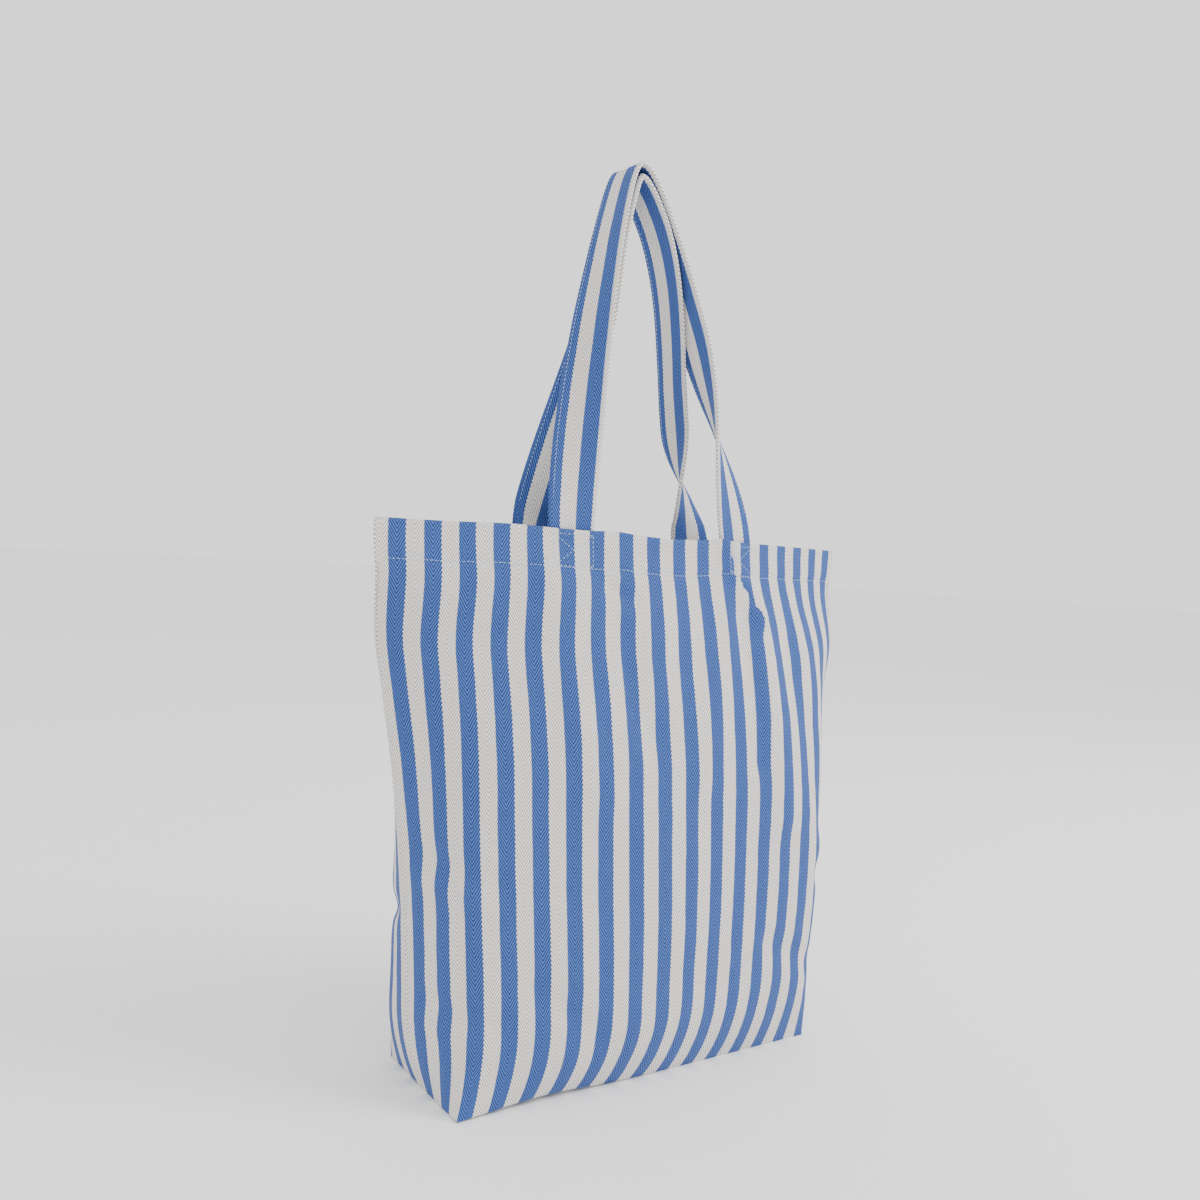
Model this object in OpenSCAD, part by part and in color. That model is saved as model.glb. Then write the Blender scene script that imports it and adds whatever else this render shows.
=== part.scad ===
// Striped cotton tote bag: two stitched panels, boxed base corners and two loop handles.
// Frame: origin at the middle of the base on the floor, X across the bag,
// the front panel towards -Y, Z up. Millimetres.

/* [Bag body] */
// Width of each panel from side seam to side seam, measured along the cloth
bag_w = 400; // [320:5:500]
// Height of the open rim above the floor
bag_h = 375; // [300:5:460]
// Depth of the flat base between its front and back folds
base_d = 106; // [80:2:130]
// Thickness of the herringbone cloth
cloth_t = 1.2; // [0.8:0.1:1.6]
// How far a panel has turned when it reaches its side seams, low on the bag, in degrees
belly_turn = 82; // [72:1:83]
// How much further it turns towards its right seam, and less far towards its left
belly_skew = 7; // [0:1:7]
// How far the belly is twisted against the rim and the base, in degrees
belly_twist = 4.5; // [0:0.5:6]
// How far a panel has turned when it reaches its side seam at the rim, in degrees
mouth_turn = 19; // [14:1:26]
// Height over which the wall swells out from the base folds
foot_h = 56; // [30:2:70]

/* [Hem and seams] */
// Depth of the hem turned in at the rim
hem_d = 28; // [20:1:40]
// Distance of the hem stitching above the hem's lower edge
hem_stitch_inset = 3; // [2:0.5:6]
// Width of the seam allowance inside the bag
seam_w = 9; // [6:1:12]
// Clear gap between two layers of cloth that lie on each other
layer_gap = 0.1; // [0.05:0.05:0.2]
// Clear gap between a corner seam on the base and the wall beside it
corner_gap = 0.4; // [0.1:0.1:1]

/* [Handles] */
// Width of a handle strap
strap_w = 33; // [24:1:40]
// Thickness of a handle strap, cloth folded four times
strap_t = 2.4; // [1.6:0.2:3.2]
// Distance between the middles of a handle's two legs
strap_spacing = 142; // [110:2:170]
// Height of the front handle's loop above the rim
handle_h = 248; // [180:2:320]
// Sideways place of the point that both loops hang from, left of the middle
hang_offset = 22; // [0:1:30]
// Clear gap between the two straps where one loop lies inside the other
nest_gap = 0.8; // [0.6:0.1:1.5]
// How much lower the inner loop hangs at the top, so that it can swing out from under the other
inner_drop = 4.5; // [4:0.5:8]
// Clear gap between the rim and the swinging part of a handle
rim_gap = 0.4; // [0.3:0.1:1]

/* [Stitching] */
// Thickness of the sewing thread
thread_t = 0.4; // [0.3:0.05:0.5]
// Gap under a thread, so that it lies on the cloth
thread_gap = 0.1; // [0.05:0.01:0.15]
// Distance of the tack stitching below the rim and in from the strap's edges
tack_inset = 2.5; // [2:0.5:4]
// Distance of the handle's edge stitching from the strap's edges
edge_inset = 3; // [2:0.5:5]

/* [Hidden] */

blue = [0.22, 0.40, 0.70];
cream = [0.85, 0.82, 0.77];
thread_colour = [0.62, 0.72, 0.86];

half_w = bag_w / 2;
base_half_l = half_w - base_d / 2;      // half the length of the flat base
seam_half_t = cloth_t;                  // two layers of cloth meet in a seam
belly_powers = [0.8, 3];                // how late a panel turns low on the bag, left and right
mouth_power = 0.8;                      // the same at the rim
belly_share = 0.4;                      // part of the turn that isn't in the edges over the base corners
edge_round = 0.1;                       // half the width of such an edge, as a part of half_w
twist_rise = 0.53 * bag_h;              // height over which the twist grows from the base
twist_fall = 0.15 * bag_h;              // height over which it goes again below the hem

// ---- panel surface: s runs across the cloth from its middle, z is the height ----

// Direction of a panel at u, from 0 at its middle to 1 at its seam
function heading(u, turn, power, share) =
    turn * (share * pow(u, power)
            + (1 - share) * ease((u - base_half_l / half_w + edge_round) / (2 * edge_round)));

// Plan of half a section, as rows of place across the cloth, x and y
plan_steps = 80;
plan_ds = half_w / plan_steps;
function half_plan(turn, power, share) =
    [for (i = 0, x = 0, y = 0; i <= plan_steps;
          x = x + plan_ds * cos(heading((i + 0.5) / plan_steps, turn, power, share)),
          y = y + plan_ds * sin(heading((i + 0.5) / plan_steps, turn, power, share)),
          i = i + 1) [i * plan_ds, x, y]];

// Cloth sections swell from the flat base to the belly and flatten again to the mouth
function ease(t) = t <= 0 ? 0 : t >= 1 ? 1 : t * t * (3 - 2 * t);
function closing_at(z) = ease(pow(z / bag_h, 1.9));
function closed(low, high, z) = low + (high - low) * closing_at(z);
function swell_at(z) = z >= foot_h ? 1 : 1 - pow(1 - z / foot_h, 2);

function base_point(s) =
    abs(s) <= base_half_l ? [s, -base_d / 2] : [sign(s) * base_half_l, abs(s) - half_w];

// The two curves of one height, worked out once for the whole row, with both seams at y = 0
function half_at(z, side) =
    half_plan(closed(belly_turn + side * belly_skew, mouth_turn, z),
              closed(belly_powers[side < 0 ? 0 : 1], mouth_power, z),
              closed(belly_share, 1, z));
function row_tables(z) =
    let (left = half_at(z, -1),
         right = half_at(z, 1),
         whole = concat([for (i = [plan_steps:-1:1]) [-left[i][0], -left[i][1], left[i][2]]], right),
         middle = (whole[0] + right[plan_steps]) / 2,
         across = right[plan_steps] - whole[0],
         lean = atan2(across[2], across[1]))
    [[for (row = whole) let (d = row - middle) [row[0], d[1] * cos(lean) + d[2] * sin(lean)]],
     [for (row = whole) let (d = row - middle) [row[0], d[2] * cos(lean) - d[1] * sin(lean)]]];

function wall_point(s, z, tables) =
    let (full = [lookup(s, tables[0]), lookup(s, tables[1])],
         flat = base_point(s),
         k = swell_at(z),
         p = flat + (full - flat) * k)
    [p[0], min(p[1], -seam_half_t), z];

// The belly's twist leaves the base and everything from the hem upwards where it is
function twist_at(z) =
    belly_twist * ease(z / twist_rise) * ease((bag_h - hem_d - z) / twist_fall);
function twisted(p) =
    let (a = twist_at(p[2])) [p[0] * cos(a) + p[1] * sin(a), p[1] * cos(a) - p[0] * sin(a), p[2]];

// Columns meet the base corners, rows meet the hem's lower edge
function steps(a, b, n) = [for (i = [0:n - 1]) a + (b - a) * i / n];
side_columns = 6;
base_columns = 28;
columns = concat(steps(-half_w, -base_half_l, side_columns),
                 steps(-base_half_l, base_half_l, base_columns),
                 steps(base_half_l, half_w, side_columns), [half_w]);
hem_rows = 5;
rows = concat(steps(0, foot_h, 5), steps(foot_h, bag_h - hem_d, 14),
              steps(bag_h - hem_d, bag_h, hem_rows), [bag_h]);
last_column = len(columns) - 1;
last_row = len(rows) - 1;
hem_row = last_row - hem_rows;
hem_inset = 2;                          // columns that the hem stops short of the side seam

outer = [for (z = rows) let (tables = row_tables(z)) [for (s = columns) wall_point(s, z, tables)]];

function unit(v) = v / norm(v);
function grid_normal(i, j) =
    let (across = outer[i][min(j + 1, last_column)] - outer[i][max(j - 1, 0)],
         rise = outer[min(i + 1, last_row)][j] - outer[max(i - 1, 0)][j])
    unit(cross(across, rise));
normals = [for (i = [0:last_row]) [for (j = [0:last_column]) grid_normal(i, j)]];

// A point at depth d under the outer face, never past the side seam's plane or the floor
function layer_point(i, j, d) =
    let (p = outer[i][j] - normals[i][j] * d)
    [p[0], min(p[1], -seam_half_t), i == 0 ? max(d, 0) : p[2]];

// A single place on the outer face and its normal, for what is sewn on at the rim
function rim_place(s, z) =
    let (p = wall_point(s, z, row_tables(z)),
         q = wall_point(s + 0.5, z, row_tables(z)) - wall_point(s - 0.5, z, row_tables(z)),
         r = p - wall_point(s, z - 0.5, row_tables(z - 0.5)))
    [p, unit(cross(q, r))];
function sewn_point(s, z, d) = let (place = rim_place(s, z)) place[0] - place[1] * d;

// ---- closed solids from rows of points ----

function flat_list(lists) = [for (l = lists) for (p = l) p];

// Two faces of a grid, n points to a row and m rows, joined round their edge
module slab(near_rows, far_rows) {
    m = len(near_rows);
    n = len(near_rows[0]);
    far = m * n;
    polyhedron(
        points = concat(flat_list(near_rows), flat_list(far_rows)),
        faces = concat(
            [for (i = [0:m - 2]) for (j = [0:n - 2]) each
                let (a = i * n + j, b = a + 1, c = b + n, d = a + n)
                [[a, d, b], [b, d, c], [far + a, far + b, far + d], [far + b, far + c, far + d]]],
            [for (j = [0:n - 2]) each
                let (a = j, b = j + 1, c = (m - 1) * n + j, d = c + 1)
                [[a, b, far + a], [b, far + b, far + a], [c, far + c, d], [d, far + c, far + d]]],
            [for (i = [0:m - 2]) each
                let (a = i * n, b = a + n, c = a + n - 1, d = c + n)
                [[a, far + a, b], [b, far + a, far + b], [c, d, far + c], [d, far + d, far + c]]]));
}

// A tube through rings of four points each, closed at both ends
module swept(rings) {
    last = len(rings) - 1;
    polyhedron(
        points = flat_list(rings),
        faces = concat(
            [[3, 2, 1, 0], [for (k = [0:3]) last * 4 + k]],
            [for (i = [0:last - 1]) for (k = [0:3]) each
                let (a = i * 4 + k, b = i * 4 + (k + 1) % 4)
                [[a, b, a + 4], [b, b + 4, a + 4]]]));
}

module on_back() rotate([0, 0, 180]) children();

// ---- panels ----

// Places on the base half: q rows back from the front fold, p columns from the left corner
function base_place(q, p, d) =
    [layer_point(0, side_columns + p, d)[0], layer_point(0, side_columns - q, d)[1], d];

// Wall and half of the base in one piece of cloth
module panel_cloth() {
    n = len(columns);
    m = len(rows);
    wall = m * n;
    extra = (side_columns * (base_columns - 1));
    far = wall + extra;
    depths = [0, cloth_t];
    // The base's front and side edges are the wall's lowest row
    function base_id(q, p) =
        q == 0 ? side_columns + p :
        p == 0 ? side_columns - q :
        p == base_columns ? side_columns + base_columns + q :
        wall + (q - 1) * (base_columns - 1) + p - 1;
    points = [for (d = depths) each concat(
        [for (i = [0:last_row]) for (j = [0:last_column]) twisted(layer_point(i, j, d))],
        [for (q = [1:side_columns]) for (p = [1:base_columns - 1]) base_place(q, p, d)])];
    polyhedron(
        points = points,
        faces = concat(
            [for (i = [0:m - 2]) for (j = [0:n - 2]) each
                let (a = i * n + j, b = a + 1, c = b + n, d = a + n)
                [[a, d, b], [b, d, c], [far + a, far + b, far + d], [far + b, far + c, far + d]]],
            [for (q = [0:side_columns - 1]) for (p = [0:base_columns - 1]) each
                let (a = base_id(q, p), b = base_id(q, p + 1),
                     c = base_id(q + 1, p + 1), d = base_id(q + 1, p))
                [[a, b, d], [b, c, d], [far + a, far + d, far + b], [far + b, far + d, far + c]]],
            [for (j = [0:n - 2]) each
                let (c = (m - 1) * n + j, d = c + 1)
                [[c, far + c, d], [d, far + c, far + d]]],
            [for (i = [0:m - 2]) each
                let (a = i * n, b = a + n, c = a + n - 1, d = c + n)
                [[a, far + a, b], [b, far + a, far + b], [c, d, far + c], [d, far + d, far + c]]],
            [for (p = [0:base_columns - 1]) each
                let (a = base_id(side_columns, p), b = base_id(side_columns, p + 1))
                [[a, b, far + a], [b, far + b, far + a]]]));
}

module front_panel() color(blue) panel_cloth();
module back_panel() color(blue) on_back() panel_cloth();

// ---- hems ----

module hem_cloth() {
    near = cloth_t + layer_gap;
    slab([for (i = [hem_row:last_row]) [for (j = [hem_inset:last_column - hem_inset])
             layer_point(i, j, near)]],
         [for (i = [hem_row:last_row]) [for (j = [hem_inset:last_column - hem_inset])
             layer_point(i, j, near + cloth_t)]]);
}

module front_hem() color(cream) hem_cloth();
module back_hem() color(cream) on_back() hem_cloth();

// ---- seams ----

corner_seam_t = 2 * cloth_t;
corner_seam_top = cloth_t + layer_gap + corner_seam_t;

// Two edges of cloth standing inwards from the side, clear of the corner seam below
module side_seam() {
    start = corner_seam_top + layer_gap;
    side_half_t = seam_half_t - layer_gap;
    heights = concat([start], [for (z = rows) if (z > start + 1) z]);
    swept([for (z = heights)
        let (edge = wall_point(half_w, z, row_tables(z))[0])
        [twisted([edge - seam_w, side_half_t, z]), twisted([edge, side_half_t, z]),
         twisted([edge, -side_half_t, z]), twisted([edge - seam_w, -side_half_t, z])]]);
}

module left_side_seam() color(cream) on_back() side_seam();
module right_side_seam() color(cream) side_seam();

corner_seam_end = 4 * cloth_t;                  // how far it stops short of the base fold
corner_seam_l = base_d - 2 * corner_seam_end;
// The wall may lean in or out above the base, so both heights and both sides count
corner_wall_x = min([for (z = [cloth_t + layer_gap, corner_seam_top]) for (side = [-1, 1])
    abs(wall_point(side * (base_half_l + corner_seam_end), z, row_tables(z))[0])]);
corner_seam_x = corner_wall_x - cloth_t - corner_gap;  // outer edge of the allowance

module corner_seam()
    translate([corner_seam_x - seam_w, -corner_seam_l / 2, cloth_t + layer_gap])
        cube([seam_w, corner_seam_l, corner_seam_t]);

module left_corner_seam() color(cream) on_back() corner_seam();
module right_corner_seam() color(cream) corner_seam();

// The joint between the two base halves, with its allowance pressed to the back
module base_seam() color(cream) {
    inner_l = corner_seam_x - seam_w - layer_gap;
    translate([-inner_l, 0, 0])
        rotate([90, 0, 90])
            linear_extrude(2 * inner_l)
                polygon([[-seam_half_t, 0], [seam_half_t, 0], [seam_half_t, cloth_t + layer_gap],
                         [seam_w, cloth_t + layer_gap], [seam_w, corner_seam_top],
                         [-seam_half_t, corner_seam_top]]);
}

// ---- handles ----

strap_depth = 2 * cloth_t + 3 * layer_gap;      // cloth between the outer face and a strap
strap_near = strap_depth;
strap_far = strap_depth + strap_t;

leg_s = strap_spacing / 2;
leg_foot = sewn_point(leg_s, bag_h, (strap_near + strap_far) / 2);
foot_turn = atan2(rim_place(leg_s, bag_h)[1][0], -rim_place(leg_s, bag_h)[1][1]);

// Along a loop, r runs from -1 at the left foot through 0 at the top to 1 at the right foot
tip_round = 0.09;
function loop_rise(r) =
    let (soft = (sqrt(r * r + tip_round * tip_round) - tip_round)
              / (sqrt(1 + tip_round * tip_round) - tip_round))
    pow(1 - pow(soft, 1.18), 1 / 1.3);

// Direction of the strap's near edge: across the bag at the feet, towards the front at the top
top_turn = -90;
function edge_angle(r, rise) =
    r < 0 ? -foot_turn + (top_turn + foot_turn) * (1 - pow(1 - rise, 1.5))
          : -180 + foot_turn + (top_turn + 180 - foot_turn) * (1 - pow(1 - rise, 2));

meet = 0.62;                                    // part of the height where the straps meet

// Middle line of the front strap
function front_line(r) =
    let (rise = loop_rise(r),
         foot_x = sign(r) * leg_foot[0],
         x = -hang_offset + (foot_x + hang_offset) * abs(r),
         y = leg_foot[1] * pow(1 - rise, 1.15))
    [x, y, bag_h + rim_gap + handle_h * rise];

// Direction of the strap from left to right, upright at the feet so that they end level
foot_part = 0.08;
function tangent(r) =
    let (along = unit(front_line(min(r + 0.004, 1)) - front_line(max(r - 0.004, -1))),
         bent = ease(loop_rise(r) / foot_part))
    unit(along * bent + [0, 0, -sign(r)] * (1 - bent));
function near_edge(r) =
    let (a = edge_angle(r, loop_rise(r)),
         raw = [cos(a), sin(a), 0],
         along = tangent(r))
    unit(raw - along * (raw * along));
function face_out(r) = cross(near_edge(r), tangent(r));

// The back strap lies inside the front one at the top and stands behind it below
function back_shift(r) =
    let (rise = loop_rise(r),
         apart = 1 - ease(rise / meet))
    [0, -2 * leg_foot[1] * apart, 0]
        - (face_out(r) * (strap_t + nest_gap) + [0, 0, inner_drop]) * (1 - apart);

function strap_line(r, is_back) = front_line(r) + (is_back ? back_shift(r) : [0, 0, 0]);

ring_half = 42;
loop_stations = [for (i = [-ring_half:ring_half])
    let (t = i / ring_half) sign(t) * pow(abs(t), 1.5)];

// A place a across the strap and d through it, measured from its middle line
function strap_point(r, is_back, a, d) = strap_line(r, is_back) + near_edge(r) * a + face_out(r) * d;

// Places across the strap: its edges, its middle and both sides of each edge thread
thread_a = strap_w / 2 - edge_inset;
half_thread = thread_t / 2;
strap_columns = [-strap_w / 2, -thread_a - half_thread, -thread_a + half_thread, 0,
                 thread_a - half_thread, thread_a + half_thread, strap_w / 2];

module strap_loop(is_back)
    slab([for (r = loop_stations) [for (a = strap_columns) strap_point(r, is_back, a, strap_t / 2)]],
         [for (r = loop_stations) [for (a = strap_columns) strap_point(r, is_back, a, -strap_t / 2)]]);

module front_handle() color(blue) strap_loop(false);
module back_handle() color(blue) strap_loop(true);

// The sewn end of each leg, flat against the hem
module strap_end(side) {
    across = concat(steps(-strap_w / 2, strap_w / 2, 5), [strap_w / 2]);
    heights = [for (i = [hem_row:last_row]) rows[i]];
    slab([for (z = heights) [for (c = across) sewn_point(side * leg_s + c, z, strap_near)]],
         [for (z = heights) [for (c = across) sewn_point(side * leg_s + c, z, strap_far)]]);
}

module strap_ends() for (side = [-1, 1]) strap_end(side);

module front_handle_ends() color(cream) strap_ends();
module back_handle_ends() color(cream) on_back() strap_ends();

// ---- stitching ----

// A thread on the outer face from one place to another, in n pieces
module thread_run(from, to, n) {
    along = to - from;
    side = [-along[1], along[0]] / norm(along) * thread_t / 2;
    swept([for (i = [0:n])
        let (p = from + along * i / n, a = p - side, b = p + side)
        [sewn_point(a[0], a[1], -thread_gap - thread_t), sewn_point(b[0], b[1], -thread_gap - thread_t),
         sewn_point(b[0], b[1], -thread_gap), sewn_point(a[0], a[1], -thread_gap)]]);
}

module hem_thread() {
    z = bag_h - hem_d + hem_stitch_inset;
    swept([for (s = [for (j = [1:last_column - 1]) columns[j]])
        [for (edge = [[-half_thread, thread_gap + thread_t], [half_thread, thread_gap + thread_t],
                      [half_thread, thread_gap], [-half_thread, thread_gap]])
            sewn_point(s, z + edge[0], -edge[1])]]);
}

// A box of stitches with a cross in it
module tack(side) {
    left = side * leg_s - strap_w / 2 + tack_inset;
    right = side * leg_s + strap_w / 2 - tack_inset;
    top = bag_h - tack_inset;
    bottom = bag_h - hem_d + hem_stitch_inset + 2 * thread_t;
    corners = [[left, bottom], [right, bottom], [right, top], [left, top]];
    for (k = [0:3]) thread_run(corners[k], corners[(k + 1) % 4], 4);
    thread_run(corners[0], corners[2], 5);
    thread_run(corners[1], corners[3], 5);
}

module tacks() for (side = [-1, 1]) tack(side);

module front_hem_stitching() color(thread_colour) hem_thread();
module back_hem_stitching() color(thread_colour) on_back() hem_thread();
module front_handle_tacks() color(thread_colour) tacks();
module back_handle_tacks() color(thread_colour) on_back() tacks();

// Two threads along the outer face of a loop
module edge_threads(is_back) {
    low = strap_t / 2 + thread_gap;
    for (middle = [-thread_a, thread_a])
        slab([for (r = loop_stations) [for (side = [-half_thread, half_thread])
                 strap_point(r, is_back, middle + side, low + thread_t)]],
             [for (r = loop_stations) [for (side = [-half_thread, half_thread])
                 strap_point(r, is_back, middle + side, low)]]);
}

module front_handle_stitching() color(thread_colour) edge_threads(false);
module back_handle_stitching() color(thread_colour) edge_threads(true);

front_panel();
back_panel();
front_hem();
back_hem();
left_side_seam();
right_side_seam();
base_seam();
left_corner_seam();
right_corner_seam();
front_handle();
back_handle();
front_handle_ends();
back_handle_ends();
front_hem_stitching();
back_hem_stitching();
front_handle_tacks();
back_handle_tacks();
front_handle_stitching();
back_handle_stitching();
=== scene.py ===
import math
import bpy
import numpy as np
from mathutils import Matrix, Vector, noise


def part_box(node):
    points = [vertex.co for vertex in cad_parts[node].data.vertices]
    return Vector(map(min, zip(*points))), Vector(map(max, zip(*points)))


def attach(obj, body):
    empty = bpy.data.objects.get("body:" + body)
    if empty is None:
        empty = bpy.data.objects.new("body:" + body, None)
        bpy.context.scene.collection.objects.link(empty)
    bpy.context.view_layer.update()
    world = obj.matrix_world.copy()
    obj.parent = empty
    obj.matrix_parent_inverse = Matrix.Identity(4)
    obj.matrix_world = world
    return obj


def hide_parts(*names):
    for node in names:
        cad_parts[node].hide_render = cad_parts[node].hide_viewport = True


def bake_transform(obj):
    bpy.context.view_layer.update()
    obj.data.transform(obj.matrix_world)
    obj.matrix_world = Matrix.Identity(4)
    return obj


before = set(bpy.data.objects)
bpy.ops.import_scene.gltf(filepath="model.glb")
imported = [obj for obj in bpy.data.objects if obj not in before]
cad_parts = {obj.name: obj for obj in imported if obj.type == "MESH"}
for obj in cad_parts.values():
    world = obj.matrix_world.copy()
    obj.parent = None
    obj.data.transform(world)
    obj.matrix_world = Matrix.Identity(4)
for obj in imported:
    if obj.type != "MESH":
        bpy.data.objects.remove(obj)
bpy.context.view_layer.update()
print("frame loaded, nodes:", len(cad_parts))
bpy.ops.object.select_all(action="DESELECT")

# camera

view = {"place": (-0.4507, -0.6446, 0.3523), "azimuth": -33.8, "elevation": 4.5, "roll": 3.2,
        "lens": 32.9, "shiftX": -0.005, "shiftY": 0.044}


def placeCamera():
    az, el, roll = (math.radians(view[k]) for k in ("azimuth", "elevation", "roll"))
    back = Vector((math.sin(az) * math.cos(el), -math.cos(az) * math.cos(el), math.sin(el)))
    right = Vector((math.cos(az), math.sin(az), 0))
    up = back.cross(right)
    across = right * math.cos(roll) + up * math.sin(roll)
    upright = up * math.cos(roll) - right * math.sin(roll)
    data = bpy.data.cameras.new("camera")
    data.lens, data.sensor_width = view["lens"], 36
    data.shift_x, data.shift_y = view["shiftX"], view["shiftY"]
    data.clip_start = 0.01
    camera = bpy.data.objects.new("camera", data)
    bpy.context.scene.collection.objects.link(camera)
    turn = Matrix((across, upright, back)).transposed().to_4x4()
    camera.matrix_world = Matrix.Translation(view["place"]) @ turn
    bpy.context.scene.camera = camera


placeCamera()

# sizes shared by every piece, in metres

bag = {"halfW": 0.200, "height": 0.375, "baseD": 0.106, "foot": 0.056, "clothT": 0.0012,
       "hemD": 0.028, "layerGap": 0.0001, "stitchInset": 0.003, "seamW": 0.009,
       "bellyTurn": 82.0, "bellySkew": 7.0, "mouthTurn": 19.0, "bellyPowers": (0.8, 3.0),
       "mouthPower": 0.8, "closingPower": 1.9, "bellyShare": 0.4, "edgeRound": 0.1,
       "twist": 4.5, "twistRise": 0.53, "twistFall": 0.15, "midGap": 0.0002}
halfW, bagH = bag["halfW"], bag["height"]
baseHalfL = halfW - bag["baseD"] / 2
stripe = 0.011
firstStripe = 0.0084  # where the first blue stripe starts, from the left side seam


def ease(t):
    t = np.clip(t, 0, 1)
    return t * t * (3 - 2 * t)


def halfSection(closing, side, steps=160):
    mix = lambda low, high: low + (high - low) * closing
    u = (np.arange(steps) + 0.5) / steps
    turn = mix(bag["bellyTurn"] + side * bag["bellySkew"], bag["mouthTurn"])
    power = mix(bag["bellyPowers"][side > 0], bag["mouthPower"])
    share = mix(bag["bellyShare"], 1.0)
    edge = ease((u - baseHalfL / halfW + bag["edgeRound"]) / (2 * bag["edgeRound"]))
    a = np.radians(turn * (share * u ** power + (1 - share) * edge))
    step = halfW / steps
    return np.r_[0, np.cumsum(step * np.cos(a))], np.r_[0, np.cumsum(step * np.sin(a))]


def sectionTable(z, steps=160):
    # one height of the front wall as a curve with both its seams at y = 0
    closing = float(ease((max(z, 0) / bagH) ** bag["closingPower"]))
    (lx, ly), (rx, ry) = halfSection(closing, -1, steps), halfSection(closing, 1, steps)
    x, y = np.r_[-lx[:0:-1], rx], np.r_[ly[:0:-1], ry]
    x, y = x - (x[0] + x[-1]) / 2, y - (y[0] + y[-1]) / 2
    lean = math.atan2(y[-1] - y[0], x[-1] - x[0])
    return (np.linspace(-halfW, halfW, 2 * steps + 1), x * math.cos(lean) + y * math.sin(lean),
            y * math.cos(lean) - x * math.sin(lean))


def twisted(points):
    # the belly is twisted a little between the base and the hem
    z = points[..., 2]
    a = np.radians(bag["twist"]) * ease(z / (bag["twistRise"] * bagH))
    a = a * ease((bagH - bag["hemD"] - z) / (bag["twistFall"] * bagH))
    x, y = points[..., 0], points[..., 1]
    return np.stack([x * np.cos(a) + y * np.sin(a), y * np.cos(a) - x * np.sin(a), z], -1)


def wallRow(s, z):
    # outer face of the front wall at one height, for an array of places across the cloth
    grid, x, y = sectionTable(z)
    full = np.stack([np.interp(s, grid, x), np.interp(s, grid, y)], 1)
    onFront = np.abs(s) <= baseHalfL
    flat = np.stack([np.where(onFront, s, np.sign(s) * baseHalfL),
                     np.where(onFront, -bag["baseD"] / 2, np.abs(s) - halfW)], 1)
    swell = 1.0 if z >= bag["foot"] else 1 - (1 - max(z, 0) / bag["foot"]) ** 2
    p = flat + (full - flat) * swell
    return np.c_[p[:, 0], np.minimum(p[:, 1], -bag["midGap"]), np.full(len(s), z)]


def smoothNoise(points, size, seed):
    shift = (seed * 7.31, seed * 3.17, seed * 1.7)
    return np.array([noise.noise(Vector((p[0] / size + shift[0], p[1] / size - shift[1], shift[2])))
                     for p in points])


def crease(s, z, start, end, width, depth):
    # a soft line from one place on the cloth to another, raised or sunk
    a, b = np.array(start), np.array(end)
    p = np.stack([s, z], -1)
    along = np.clip(((p - a) @ (b - a)) / ((b - a) @ (b - a)), 0, 1)
    gap = np.linalg.norm(p - (a + along[..., None] * (b - a)), axis=-1)
    return depth * np.exp(-(gap / width) ** 2)


def overlap(s, z, path, reach, depth):
    # cloth stands proud on the left of a line and sinks at once on its right, as at a pull fold
    path = np.array(path)
    line = np.interp(z, path[::-1, 1], path[::-1, 0])
    inside = ease((z - path[-1, 1] + 0.012) / 0.012) * ease((path[0, 1] + 0.010 - z) / 0.010)
    gap = s - line
    left = np.where(gap <= 0, np.exp(-(gap / reach) ** 2), 0)
    right = np.where(gap > 0, -0.7 * np.exp(-(gap / (reach * 0.55)) ** 2), 0)
    return depth * inside * (left + right)


# wrinkles, in metres: each side of the bag has its own

# a crease is (start, end, width, depth), a rim wave (place, height, spread), a fold (path, reach, depth)
frontWrinkles = {
    "seed": 3, "lift": (-0.085, 0.004, 0.050),
    "creases": [
        ((-0.198, 0.166), (-0.128, 0.150), 0.0085, -0.0016),
        ((-0.196, 0.148), (-0.140, 0.136), 0.009, 0.0012),
        ((-0.192, 0.070), (-0.130, 0.058), 0.0085, -0.0014),
        ((-0.190, 0.053), (-0.140, 0.046), 0.008, 0.001),
        ((-0.090, 0.352), (-0.060, 0.205), 0.014, 0.0022),
        ((-0.052, 0.350), (-0.020, 0.240), 0.012, -0.002),
        ((0.055, 0.345), (0.020, 0.215), 0.015, 0.002),
        ((0.084, 0.322), (0.100, 0.180), 0.013, 0.0024),
        ((0.066, 0.318), (0.074, 0.220), 0.009, -0.0026),
        ((0.110, 0.300), (0.150, 0.170), 0.015, -0.0022),
        ((-0.105, 0.080), (-0.060, 0.045), 0.011, -0.0022),
        ((0.090, 0.085), (0.140, 0.060), 0.010, -0.0022),
        ((-0.044, 0.338), (-0.026, 0.330), 0.006, -0.0022),
        ((0.150, 0.130), (0.192, 0.150), 0.009, -0.0028)],
    "rim": [(-0.115, 0.0012, 0.030), (-0.040, 0.001, 0.012), (0.005, -0.0016, 0.030), (0.052, 0.0014, 0.012)],
    "fold": ([(0.058, 0.372), (0.062, 0.352), (0.073, 0.338), (0.086, 0.318)],
             0.010, 0.0044)}
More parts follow.
